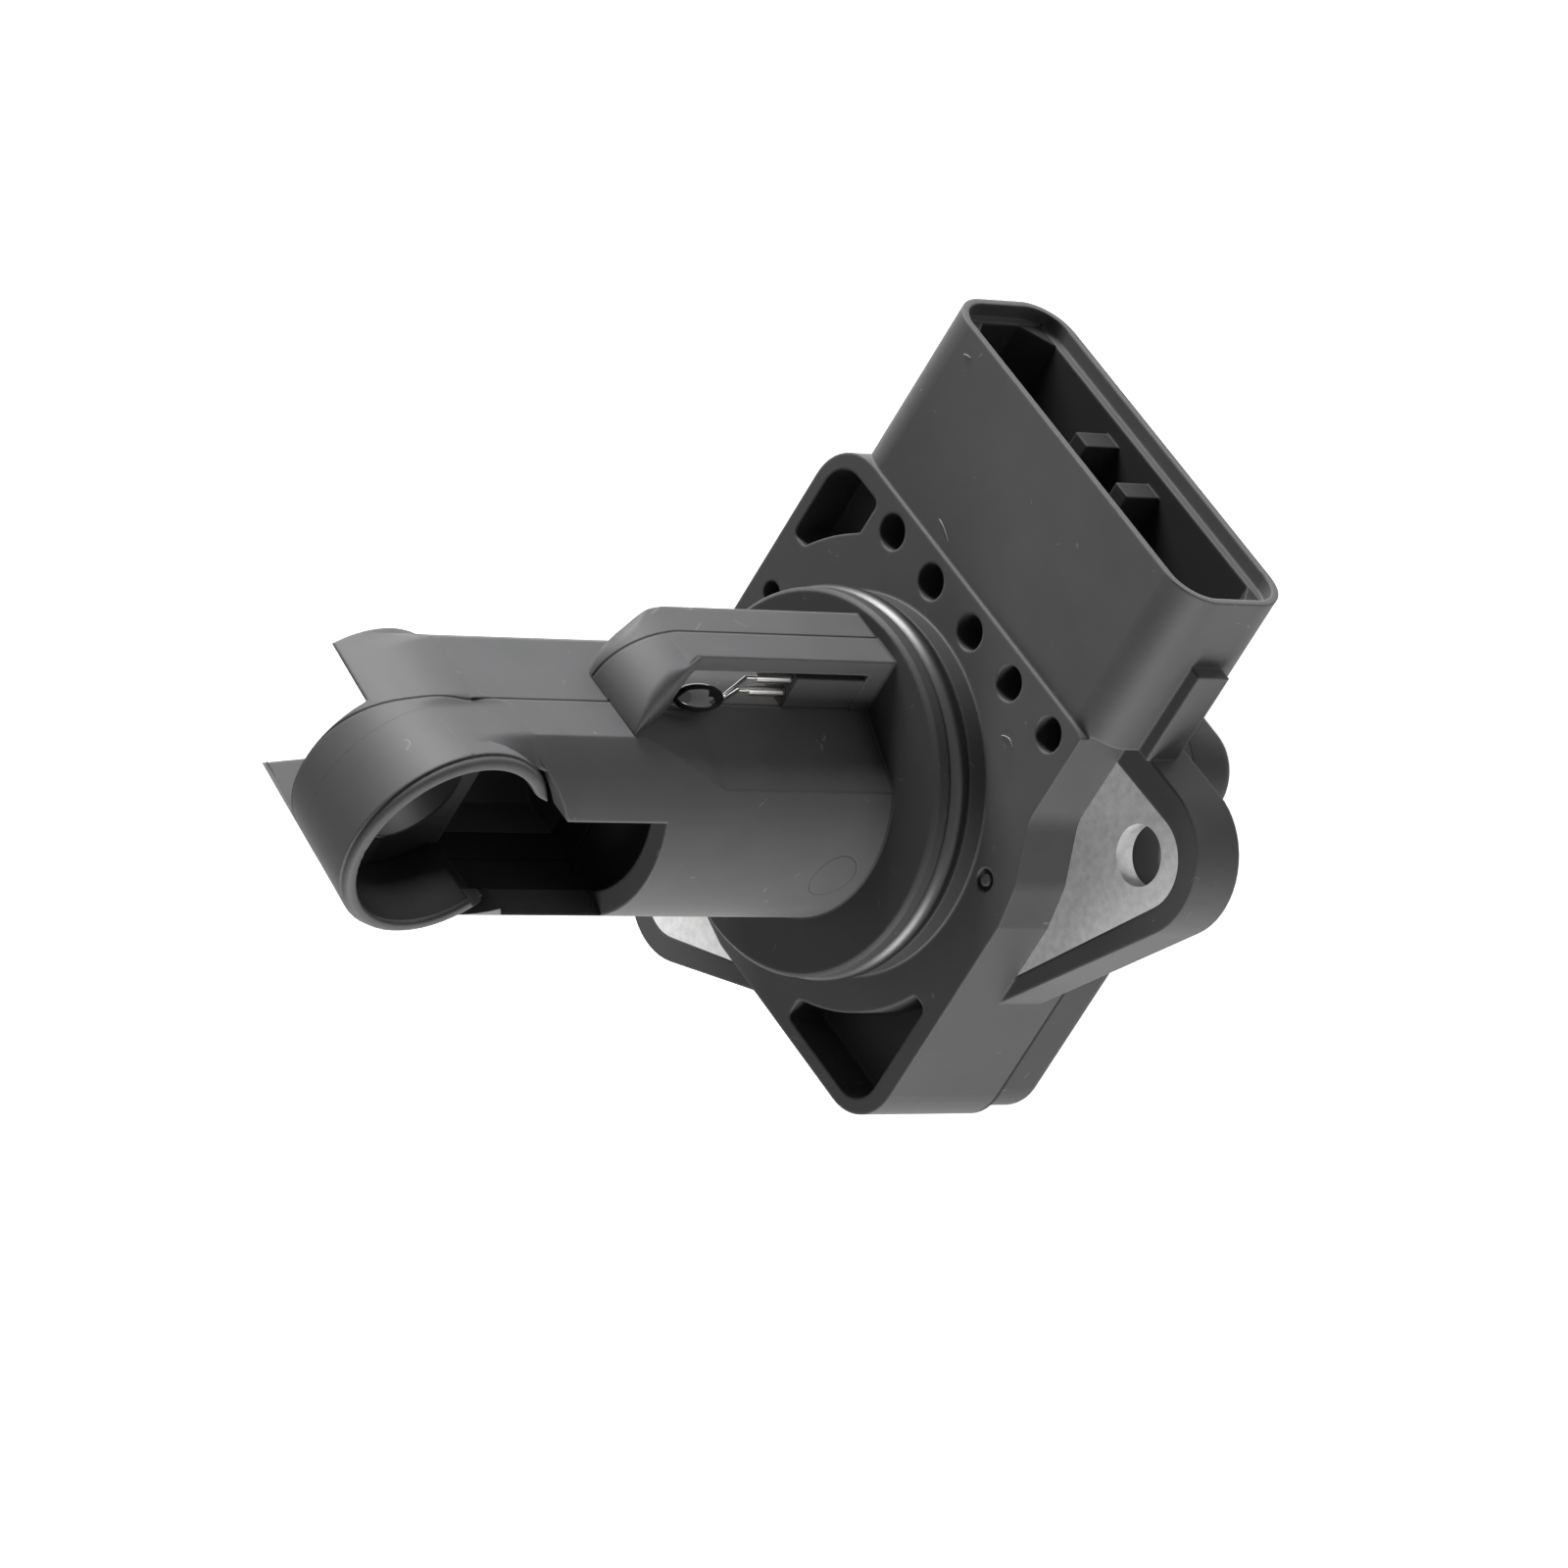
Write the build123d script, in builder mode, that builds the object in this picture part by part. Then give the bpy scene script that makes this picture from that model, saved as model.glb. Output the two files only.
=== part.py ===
# Plug-in mass airflow sensor: a square head with two screw ears and a five-pin connector,
# a sealed round plug, and a probe that hangs in the air stream.
# Millimetres. +Z runs along the probe, away from the head, and Z = 0 is the head's front face.
# The two screws lie on a line along X. The connector points along the bisector of X and Y,
# called "a" here, and "b" runs across it, along the air stream, towards +X and -Y.
import math
import os

from build123d import *

os.makedirs("parts", exist_ok=True)

# Head
head_side = 36.8
head_corner = 4.3
head_depth = 11.1
head_cavity_side = 28.0
cavity_corner = 3.0
core_pocket_depth = 3.6
core_pocket_inset = 1.6
core_pocket_edge = 1.1
core_pocket_corner = 2.6
core_pocket_round = 0.6
top_pocket_r = 18.3
top_pocket_length = 7.6
top_pocket_width = 5.4
bottom_pocket_r = 16.8
bottom_pocket_side = 10.4
small_hole_r = 0.9
small_hole_depth = 2.0
small_hole_a = 4.4
small_hole_b = -16.1
mark_r = 0.85
mark_bump_r = 0.45
mark_depth = 0.35
mark_a = 4.15
mark_b = 15.05

# Screw ears
screw_spacing = 48.6
screw_y = -6.4
screw_hole_r = 2.27
ear_r = 5.85
ear_root_a = -4.9
ear_back_z = -9.3
seat_z = -5.0
relief_b = 15.5
relief_a = 10.3
relief_ramp_a = 5.9
relief_ramp_b = 17.7
relief_end_a = 2.5
relief_round = 3.0

# Steel plate moulded through the head
plate_thick = 1.6
plate_tip_r = 3.6
plate_tip_out = 0.5
plate_edge_a = 16.05
plate_edge_b = 14.5
plate_band_x = 9.0
plate_band_low_y = -15.3
plate_band_high_y = -7.5

# Plug and seal
plug_r = 14.24
plug_land_r = 14.1
plug_height = 5.15
plug_edge = 0.3
groove_low_z = 1.7
groove_high_z = 3.9
seal_section = 2.1
seal_outer_r = 14.5

# Probe body
body_r = 9.85
body_flat_a = 8.4
body_wall = 1.8
front_top_z = 40.7
back_top_z = 43.1
shoulder_round = 0.6
seam_b = 1.4

# Tip barrel
barrel_z = 44.0
barrel_back_b = -7.3
barrel_back_r = 7.2
barrel_front_b = 7.75
barrel_front_r = 8.24
barrel_bore_r = 7.2
throat_r = 4.75
lip_b = 7.05
lip_step = 0.15
lip_outer_round = 0.5
lip_inner_round = 0.2
moat_b = 5.0
moat_r = 8.75
notch_b = -1.2
notch_low_a = 5.0
notch_high_a = 5.6
notch_high_z = 48.6

# Side window and the chamber behind it
window_low_z = 25.5
window_high_a = 3.8
window_high_low_z = 26.7
window_neck_z = 36.0
window_low_neck_z = 35.0
gusset_high_a = 5.0
gusset_high_z = 38.8
gusset_low_a = -5.4
gusset_low_z = 38.6
gusset_step_a = -4.8
gusset_step_z = 36.9
chamber_floor_z = 24.6
chamber_top_z = 38.0

# Guard over the air temperature element
guard_a = 13.0
guard_wall = 1.3
guard_back_b = -3.8
guard_front_b = 1.6
guard_seam_b = -1.1
guard_bend_z = 26.2
guard_round = 3.5
guard_foot_z = 30.0
guard_foot_front_b = 5.0
guard_foot_back_b = -1.1
guard_turn_z = 24.5
guard_root = 1.5
bay_low_z = 7.0
bay_end_z = 25.2
bay_round = 1.2
bay_block_z = 13.5
bay_block_a = 11.1
bay_block_b = 1.5

# Hollow in the front half, below the guard
recess_b = 1.5
recess_bend_a = 6.3
recess_bend_b = 7.0
recess_edge_a = 5.2
recess_end_z = 21.5
recess_blend_z = 29.0

# Connector
shroud_width = 33.7
shroud_thick = 10.62
shroud_drop = 0.28
shroud_corner = 3.2
shroud_mouth_a = 32.3
shroud_wall = 1.3
socket_depth = 11.5
socket_corner = 2.2
rim_width = 0.55
lead_in_depth = 1.2
key_rib_bs = (-4.1, 1.5)
key_rib_width = 1.6
key_rib_height = 3.2
key_rib_set_back = 2.4
side_rib_set_back = 6.0
side_rib_top_z = -4.6
side_rib_low_z = -7.6
side_rib_proud = 1.1
rail_bs = (-2.35, 6.7)
rail_width = 4.0
rail_proud = 0.9
rail_length = 10.9
rail_set_back = 0.9
latch_run = 3.0
latch_set_back = 2.8
latch_proud = 1.3
latch_low_b = 0.4
latch_high_b = 4.0

# Terminals and the moulding holes over them
terminal_count = 5
terminal_pitch = 5.53
terminal_row_b = 1.72
terminal_width = 2.2
terminal_thick = 0.64
terminal_set_back = 6.3
terminal_tip_taper = 0.6
terminal_pad_a = 12.1
terminal_bend_a = 14.1
terminal_z = -5.4
terminal_step = 2.1
core_hole_r = 1.35
core_hole_a = 16.2

# Circuit
board_thick = 0.8
board_low_a = -9.5
board_high_a = 11.6
board_width = 16.0
pin_r = 0.4
pin_clearance = 0.05
pin_tail = 0.8
chip_side = 6.5
chip_thick = 1.3
chip_a = -2.5
chip_b = 0.0
capacitor_length = 3.2
capacitor_width = 1.6
capacitor_thick = 1.2
capacitor_a = -7.4
capacitor_b = 4.5
wire_width = 0.4
wire_thick = 0.25
wire_rise = 0.9
wire_land = 0.9

# Sensing elements
element_r = 0.55
element_lead_r = 0.15
element_lead_length = 0.3
pin_over_element = 0.8
sense_low_b = 2.5
pin_wall_gap = 0.2
heater_a = 5.0
heater_z = 34.0
reference_a = 2.8
reference_z = 30.0
temperature_b = 0.8
temperature_low_a = 9.3
temperature_high_a = 10.5
temperature_pin_z = 17.0
bead_a = 9.6
bead_b = 2.1
bead_z = 22.7
bead_length = 4.6
bead_r = 1.05
lead_r = 0.14
lead_straight = 0.8
lead_spread = 0.3

# Back cover
cover_side = 35.6
cover_thick = 4.45
cover_corner = 3.7
cover_pocket_depth = 2.4
cover_pocket_side = 29.0
cover_round = 1.2
glue_thick = 0.35
glue_inset = 0.5
glue_side = cover_side - 2 * glue_inset
glue_width = 2.6

ROOT2 = math.sqrt(2)
head_half = head_side / 2
screw_x = screw_spacing / 2
shroud_low_z = -shroud_drop - shroud_thick
shroud_z = -shroud_drop - shroud_thick / 2
socket_floor_a = shroud_mouth_a - socket_depth
terminal_tip_a = shroud_mouth_a - terminal_set_back
key_rib_end_a = shroud_mouth_a - key_rib_set_back
side_rib_end_a = shroud_mouth_a - side_rib_set_back
rail_high_a = shroud_mouth_a - rail_set_back
latch_high_a = shroud_mouth_a - latch_set_back
shroud_root_a = head_half - head_corner
plate_back_z = seat_z - plate_thick
board_back_z = plate_back_z - board_thick
cover_front_z = -head_depth - glue_thick
inner_r = body_r - body_wall
inner_flat_a = body_flat_a - body_wall
sense_high_b = math.sqrt((inner_r - pin_r - pin_wall_gap) ** 2 - heater_a**2)
pin_low_z = board_back_z - pin_tail
seal_r = seal_outer_r - seal_section / 2
seal_z = (groove_low_z + groove_high_z) / 2
middle = (terminal_count - 1) / 2
terminal_bs = [terminal_row_b + terminal_pitch * (i - middle) for i in range(terminal_count)]


def spot(a, b):
    """X and Y of a place given along the connector's two directions."""
    return ((a + b) / ROOT2, (a - b) / ROOT2)


def level(z):
    """Plane square to the probe at height z, its x along a and its y against b."""
    return Plane(origin=(0, 0, z), x_dir=(1, 1, 0), z_dir=(0, 0, 1))


def facing_mouth(a):
    """Plane square to a, its x against b and its y along Z."""
    x, y = spot(a, 0)
    return Plane(origin=(x, y, 0), x_dir=(-1, 1, 0), z_dir=(1, 1, 0))


def facing_stream(b):
    """Plane square to b, its x along a and its y along Z."""
    x, y = spot(0, b)
    return Plane(origin=(x, y, 0), x_dir=(1, 1, 0), z_dir=(1, -1, 0))


def export(part, label):
    """Name a finished piece and write it."""
    part.label = label
    export_step(part, f"parts/{label}.step")


# Five blades, each with an inner pad one step lower, where the wires of the circuit land
blade_top_z = terminal_z + terminal_thick / 2
blade_low_z = terminal_z - terminal_thick / 2
pad_top_z = blade_top_z - terminal_step
pad_low_z = blade_low_z - terminal_step
terminals = []
for b in terminal_bs:
    with BuildPart() as terminal:
        with BuildSketch(facing_stream(b)):
            with BuildLine():
                Polyline(
                    (terminal_pad_a, pad_top_z),
                    (terminal_bend_a, pad_top_z),
                    (terminal_bend_a, blade_top_z),
                    (terminal_tip_a - terminal_tip_taper, blade_top_z),
                    (terminal_tip_a, terminal_z + terminal_thick / 4),
                    (terminal_tip_a, terminal_z - terminal_thick / 4),
                    (terminal_tip_a - terminal_tip_taper, blade_low_z),
                    (terminal_bend_a + terminal_thick, blade_low_z),
                    (terminal_bend_a + terminal_thick, pad_low_z),
                    (terminal_pad_a, pad_low_z),
                    close=True,
                )
            make_face()
        extrude(amount=terminal_width / 2, both=True)
    terminals.append(terminal.part)
for i, terminal_part in enumerate(terminals):
    export(terminal_part, f"terminal_{i + 1}")

# Stamped plate from ear to ear: it carries the screws' load
tip_a = (screw_x + screw_y) / ROOT2
tip_b = (screw_x - screw_y) / ROOT2 + plate_tip_out
with BuildPart() as plate:
    with BuildSketch(Plane.XY.offset(seat_z)):
        with Locations(spot(tip_a, tip_b)):
            Circle(plate_tip_r)
        with BuildLine():
            Polyline(
                spot(plate_edge_a, plate_edge_b),
                (plate_band_x, plate_band_high_y),
                (plate_band_x, plate_band_low_y),
            )
        make_hull()
        mirror(about=Plane.YZ)
        with Locations((0, (plate_band_low_y + plate_band_high_y) / 2)):
            Rectangle(2 * plate_band_x, plate_band_high_y - plate_band_low_y)
    extrude(amount=-plate_thick)
    with BuildSketch(Plane.XY.offset(seat_z)):
        with Locations((screw_x, screw_y), (-screw_x, screw_y)):
            Circle(screw_hole_r)
    extrude(amount=-plate_thick, mode=Mode.SUBTRACT)
export(plate.part, "mounting_plate")

# The whole probe, before it is parted into a front and a back half
with BuildPart() as probe:
    with BuildSketch(facing_stream(seam_b)):
        with Locations((0, plug_height)):
            side = Rectangle(
                2 * body_flat_a, front_top_z - plug_height, align=(Align.CENTER, Align.MIN)
            )
        fillet(side.vertices().group_by(Axis.Y)[-1], radius=shoulder_round)
    extrude(amount=body_r - seam_b)
    with BuildSketch(facing_stream(seam_b)):
        with Locations((0, plug_height)):
            side = Rectangle(
                2 * body_flat_a, back_top_z - plug_height, align=(Align.CENTER, Align.MIN)
            )
        fillet(side.vertices().group_by(Axis.Y)[-1], radius=shoulder_round)
    extrude(amount=-(seam_b + body_r))
    with BuildSketch(level(plug_height)):
        Circle(body_r)
    extrude(amount=back_top_z - plug_height, mode=Mode.INTERSECT)
    # The body's front is cut back round the barrel
    with BuildSketch(facing_stream(moat_b)):
        with Locations((0, barrel_z)):
            Circle(moat_r)
    extrude(amount=body_r - moat_b, mode=Mode.SUBTRACT)
    # Barrel across the tip, a little wider at its mouth, with a rounded lip
    with BuildSketch(level(barrel_z)):
        with BuildLine():
            Polyline(
                (0, -barrel_back_b),
                (barrel_back_r, -barrel_back_b),
                (barrel_front_r, -lip_b),
                (barrel_front_r - lip_step, -lip_b),
                (barrel_front_r - lip_step, lip_outer_round - barrel_front_b),
            )
            TangentArc(
                (barrel_front_r - lip_step, lip_outer_round - barrel_front_b),
                (barrel_front_r - lip_step - lip_outer_round, -barrel_front_b),
                tangent=(0, -1),
            )
            Polyline(
                (barrel_front_r - lip_step - lip_outer_round, -barrel_front_b),
                (0, -barrel_front_b),
                (0, -barrel_back_b),
            )
        make_face()
    revolve(axis=Axis((0, 0, barrel_z), (1, -1, 0)))
    with BuildSketch(level(chamber_floor_z)):
        Circle(inner_r)
        Rectangle(2 * inner_flat_a, 2 * inner_r, mode=Mode.INTERSECT)
    extrude(amount=chamber_top_z - chamber_floor_z, mode=Mode.SUBTRACT)
    # Side window, narrowed by a gusset on each side where it runs into the barrel
    with BuildSketch(facing_stream(body_r)):
        with BuildLine():
            Polyline(
                (-inner_flat_a, window_low_z),
                (window_high_a, window_high_low_z),
                (window_high_a, window_neck_z),
                (gusset_high_a, gusset_high_z),
                (0, barrel_z),
                (gusset_low_a, gusset_low_z),
                (gusset_step_a, gusset_step_z),
                (-inner_flat_a, window_low_neck_z),
                close=True,
            )
        make_face()
    extrude(amount=-(body_r - seam_b), mode=Mode.SUBTRACT)
    # Wide bore in the front half, narrow throat in the back half
    with BuildSketch(level(barrel_z)):
        with BuildLine():
            Polyline(
                (0, body_r),
                (throat_r, body_r),
                (throat_r, -seam_b),
                (barrel_bore_r, -seam_b),
                (barrel_bore_r, lip_inner_round - barrel_front_b),
            )
            TangentArc(
                (barrel_bore_r, lip_inner_round - barrel_front_b),
                (barrel_bore_r + lip_inner_round, -barrel_front_b),
                tangent=(0, -1),
            )
            Polyline(
                (barrel_bore_r + lip_inner_round, -barrel_front_b),
                (barrel_bore_r + lip_inner_round, -body_r),
                (0, -body_r),
                (0, body_r),
            )
        make_face()
    revolve(axis=Axis((0, 0, barrel_z), (1, -1, 0)), mode=Mode.SUBTRACT)
    # Slot from the tip down to the throat, which leaves two horns at the back of the barrel
    with BuildSketch(facing_stream(notch_b)):
        with BuildLine():
            Polyline(
                (-notch_low_a, barrel_z),
                (notch_low_a, barrel_z),
                (notch_high_a, notch_high_z),
                (notch_high_a, barrel_z + barrel_front_r),
                (-notch_high_a, barrel_z + barrel_front_r),
                (-notch_high_a, notch_high_z),
                close=True,
            )
        make_face()
    extrude(amount=-(body_r + notch_b), mode=Mode.SUBTRACT)

# Guard over the air temperature element, its foot slewed along the stream, with an open bay
with BuildPart() as guard:
    with BuildSketch(facing_stream(guard_foot_front_b)):
        with BuildLine():
            Polyline(
                (body_flat_a, plug_height),
                (guard_a, plug_height),
                (guard_a, guard_bend_z),
                (body_flat_a, guard_foot_z),
                close=True,
            )
        make_face()
        fillet(vertices().sort_by_distance((guard_a, guard_bend_z))[0], radius=guard_round)
    extrude(amount=guard_back_b - guard_foot_front_b)
    with BuildSketch(facing_mouth(guard_a)):
        with BuildLine():
            Polyline(
                (-guard_front_b, plug_height),
                (-guard_front_b, guard_turn_z),
                (-guard_foot_front_b, guard_foot_z),
                (-guard_foot_back_b, guard_foot_z),
                (-guard_back_b, guard_turn_z),
                (-guard_back_b, plug_height),
                close=True,
            )
        make_face()
    extrude(amount=body_flat_a - guard_a, mode=Mode.INTERSECT)
    with BuildSketch(facing_stream(guard_foot_front_b)):
        with BuildLine():
            Polyline(
                (body_flat_a, bay_low_z),
                (guard_a - guard_wall, bay_low_z),
                (guard_a - guard_wall, bay_end_z),
                (body_flat_a, bay_end_z),
                close=True,
            )
        make_face()
        fillet(vertices().sort_by_distance((guard_a, bay_end_z))[0], radius=bay_round)
    extrude(amount=guard_back_b - guard_foot_front_b, mode=Mode.SUBTRACT)

# Front half of the probe: it is moulded in one with the head
with BuildPart() as front_half:
    add(probe.part)
    split(bisect_by=facing_stream(seam_b), keep=Keep.TOP)
    with BuildSketch(level(plug_height)) as recess_low:
        with BuildLine():
            Polyline(
                (body_flat_a, -recess_b),
                (recess_bend_a, -recess_bend_b),
                (recess_edge_a, -body_r),
                (guard_a, -body_r),
                (guard_a, -recess_b),
                close=True,
            )
        make_face()
    extrude(amount=recess_end_z - plug_height, mode=Mode.SUBTRACT)
    with BuildSketch(level(recess_end_z)):
        add(recess_low.sketch_local)
    with BuildSketch(level(recess_blend_z)):
        with BuildLine():
            Polyline(
                (body_flat_a, -recess_b),
                (body_flat_a, -recess_bend_b),
                (body_flat_a, -body_r),
                (guard_a, -body_r),
                (guard_a, -recess_b),
                close=True,
            )
        make_face()
    loft(mode=Mode.SUBTRACT)

# Front part of the guard and the block that carries the temperature element's pins
with BuildPart() as front_guard:
    add(guard.part)
    split(bisect_by=facing_stream(guard_seam_b), keep=Keep.TOP)
    with BuildSketch(facing_stream(bay_block_b)):
        with Locations(((body_flat_a + bay_block_a) / 2, (plug_height + bay_block_z) / 2)):
            Rectangle(bay_block_a - body_flat_a, bay_block_z - plug_height)
    extrude(amount=guard_seam_b - bay_block_b)
    # Root of the guard's foot, which fills the recess under it
    bay_end_front_b = guard_front_b + (guard_foot_front_b - guard_front_b) * (
        bay_end_z - guard_turn_z
    ) / (guard_foot_z - guard_turn_z)
    with BuildSketch(facing_mouth(body_flat_a)):
        with BuildLine():
            Polyline(
                (-seam_b, bay_end_z),
                (-bay_end_front_b, bay_end_z),
                (-guard_foot_front_b, guard_foot_z),
                (-seam_b, guard_foot_z),
                close=True,
            )
        make_face()
    extrude(amount=-guard_root)

# Head, plug, connector and ears in one moulding, with the front half of the probe on it
pin_spots = [
    (heater_a, sense_low_b),
    (heater_a, sense_high_b),
    (reference_a, sense_low_b),
    (reference_a, sense_high_b),
    (temperature_low_a, temperature_b),
    (temperature_high_a, temperature_b),
]
with BuildPart() as housing:
    with BuildSketch(level(0)):
        RectangleRounded(head_side, head_side, head_corner)
    extrude(amount=-head_depth)
    with BuildSketch(facing_mouth(shroud_mouth_a)):
        with Locations((0, shroud_z)):
            RectangleRounded(shroud_width, shroud_thick, shroud_corner)
    extrude(amount=shroud_root_a - shroud_mouth_a)
    # Rib on the connector's end, rails and latch on its far side
    with BuildSketch(facing_mouth(side_rib_end_a)):
        with Locations((-(shroud_width + side_rib_proud) / 2, (side_rib_top_z + side_rib_low_z) / 2)):
            Rectangle(side_rib_proud, side_rib_top_z - side_rib_low_z)
    extrude(amount=shroud_root_a - side_rib_end_a)
    with BuildSketch(facing_mouth(rail_high_a)):
        with Locations(*[(-b, shroud_low_z) for b in rail_bs]):
            Rectangle(rail_width, 2 * rail_proud)
    extrude(amount=-rail_length)
    with BuildSketch(facing_stream(latch_low_b)):
        with BuildLine():
            Polyline(
                (latch_high_a - latch_run, shroud_z),
                (latch_high_a - latch_run, shroud_low_z - latch_proud),
                (latch_high_a, shroud_low_z),
                (latch_high_a, shroud_z),
                close=True,
            )
        make_face()
    extrude(amount=latch_high_b - latch_low_b)
    # Socket: a shallow lead-in behind a thin rim, and eight-sided below it
    with BuildSketch(facing_mouth(shroud_mouth_a)):
        with Locations((0, shroud_z)):
            RectangleRounded(
                shroud_width - 2 * rim_width, shroud_thick - 2 * rim_width, shroud_corner - rim_width
            )
    extrude(amount=-lead_in_depth, mode=Mode.SUBTRACT)
    with BuildSketch(facing_mouth(shroud_mouth_a)):
        with Locations((0, shroud_z)):
            socket = Rectangle(shroud_width - 2 * shroud_wall, shroud_thick - 2 * shroud_wall)
        chamfer(socket.vertices(), length=socket_corner)
    extrude(amount=-socket_depth, mode=Mode.SUBTRACT)
    # Keying ribs on the socket's far wall
    with BuildSketch(facing_mouth(key_rib_end_a)):
        with Locations(*[(-b, shroud_low_z + shroud_wall + key_rib_height / 2) for b in key_rib_bs]):
            Rectangle(key_rib_width, key_rib_height)
    extrude(amount=socket_floor_a - key_rib_end_a)
    # The head is stepped back round each ear, so that a screw's head finds room
    with BuildSketch(Plane.XY.offset(seat_z)):
        with BuildLine():
            Polyline(
                spot(head_half, relief_b),
                spot(relief_a, relief_b),
                spot(relief_ramp_a, relief_ramp_b),
                spot(relief_end_a, head_half),
                spot(relief_end_a, head_side),
                spot(head_half, head_side),
                close=True,
            )
        make_face()
        fillet(vertices().sort_by_distance(spot(relief_a, relief_b))[0], radius=relief_round)
        fillet(vertices().sort_by_distance(spot(relief_ramp_a, relief_ramp_b))[0], radius=relief_round)
        mirror(about=Plane.YZ)
    extrude(amount=-seat_z, mode=Mode.SUBTRACT)
    with BuildSketch(Plane.XY.offset(seat_z)):
        with Locations((screw_x, screw_y)):
            Circle(ear_r)
        with BuildLine():
            Polyline(
                spot(head_half, relief_b - head_corner),
                spot(ear_root_a, relief_b - head_corner),
                spot(ear_root_a, head_half),
            )
        make_hull()
        mirror(about=Plane.YZ)
    extrude(amount=ear_back_z - seat_z)
    # Plug with the seal's groove
    with BuildSketch(Plane.XZ):
        with BuildLine():
            Polyline(
                (0, seat_z),
                (plug_land_r, seat_z),
                (plug_land_r, groove_low_z),
                (seal_r - seal_section / 2, groove_low_z),
                (seal_r - seal_section / 2, groove_high_z),
                (plug_r, groove_high_z),
                (plug_r, plug_height - plug_edge),
                (plug_r - plug_edge, plug_height),
                (0, plug_height),
                close=True,
            )
        make_face()
    revolve(axis=Axis.Z)
    add(front_half.part)
    add(front_guard.part)
    # Cored pockets in the two corners that have no ear
    with BuildSketch(level(0)):
        with Locations((head_half - core_pocket_inset, head_half - core_pocket_edge)):
            Rectangle(top_pocket_length, top_pocket_width, align=(Align.MAX, Align.MAX))
        Circle(top_pocket_r, mode=Mode.SUBTRACT)
        fillet(vertices().sort_by_distance((head_side, head_side))[1:], radius=core_pocket_round)
        fillet(vertices().sort_by_distance((head_side, head_side))[0], radius=core_pocket_corner)
    extrude(amount=-core_pocket_depth, mode=Mode.SUBTRACT)
    with BuildSketch(level(0)):
        with Locations((core_pocket_edge - head_half, core_pocket_inset - head_half)):
            Rectangle(bottom_pocket_side, bottom_pocket_side, align=(Align.MIN, Align.MIN))
        Circle(bottom_pocket_r, mode=Mode.SUBTRACT)
        fillet(vertices().sort_by_distance((-head_side, -head_side))[1:], radius=core_pocket_round)
        fillet(vertices().sort_by_distance((-head_side, -head_side))[0], radius=core_pocket_corner)
    extrude(amount=-core_pocket_depth, mode=Mode.SUBTRACT)
    # Core pin holes over the terminals, a small blind hole and a fine ring mark
    with BuildSketch(level(0)):
        with Locations(*[(core_hole_a, -b) for b in terminal_bs]):
            Circle(core_hole_r)
    extrude(amount=blade_top_z, mode=Mode.SUBTRACT)
    with BuildSketch(level(0)):
        with Locations((small_hole_a, -small_hole_b)):
            Circle(small_hole_r)
    extrude(amount=-small_hole_depth, mode=Mode.SUBTRACT)
    with BuildSketch(level(0)):
        with Locations((mark_a, -mark_b)):
            Circle(mark_r)
            Circle(mark_bump_r, mode=Mode.SUBTRACT)
    extrude(amount=-mark_depth, mode=Mode.SUBTRACT)
    # Room for the circuit, open at the back
    with BuildSketch(level(seat_z)):
        RectangleRounded(head_cavity_side, head_cavity_side, cavity_corner)
    extrude(amount=-head_depth - seat_z, mode=Mode.SUBTRACT)
    with BuildSketch(level(seat_z)):
        with Locations(*[(a, -b) for a, b in pin_spots]):
            Circle(pin_r + pin_clearance)
    extrude(amount=chamber_floor_z - seat_z, mode=Mode.SUBTRACT)
    with BuildSketch(Plane.XY.offset(seat_z)):
        with Locations((screw_x, screw_y), (-screw_x, screw_y)):
            Circle(screw_hole_r)
    extrude(amount=ear_back_z - seat_z, mode=Mode.SUBTRACT)
    # The plate and the terminals are moulded in
    add(plate.part, mode=Mode.SUBTRACT)
    for terminal_part in terminals:
        add(terminal_part, mode=Mode.SUBTRACT)
export(housing.part, "sensor_housing")

# Back half of the probe, with the rest of the guard
with BuildPart() as back_half:
    add(probe.part)
    split(bisect_by=facing_stream(seam_b), keep=Keep.BOTTOM)
with BuildPart() as shell:
    add(guard.part)
    split(bisect_by=facing_stream(guard_seam_b), keep=Keep.BOTTOM)
    add(back_half.part)
export(shell.part, "bypass_shell")

# Seal ring, seated in the plug's groove
with BuildPart() as seal:
    with BuildSketch(Plane.XZ):
        with Locations((seal_r, seal_z)):
            Circle(seal_section / 2)
    revolve(axis=Axis.Z)
export(seal.part, "plug_seal")

# Circuit board on the plate's back, and what it carries
with BuildPart() as board:
    with BuildSketch(level(plate_back_z)):
        with Locations(((board_low_a + board_high_a) / 2, 0)):
            Rectangle(board_high_a - board_low_a, board_width)
        with Locations(*[(a, -b) for a, b in pin_spots]):
            Circle(pin_r + pin_clearance, mode=Mode.SUBTRACT)
    extrude(amount=-board_thick)
export(board.part, "circuit_board")

with BuildPart() as chip:
    with BuildSketch(level(board_back_z)):
        with Locations((chip_a, -chip_b)):
            Rectangle(chip_side, chip_side)
    extrude(amount=-chip_thick)
export(chip.part, "signal_chip")

for i, b in enumerate((capacitor_b, -capacitor_b)):
    with BuildPart() as capacitor:
        with BuildSketch(level(board_back_z)):
            with Locations((capacitor_a, -b)):
                Rectangle(capacitor_width, capacitor_length)
        extrude(amount=-capacitor_thick)
    export(capacitor.part, f"board_capacitor_{i + 1}")

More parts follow.
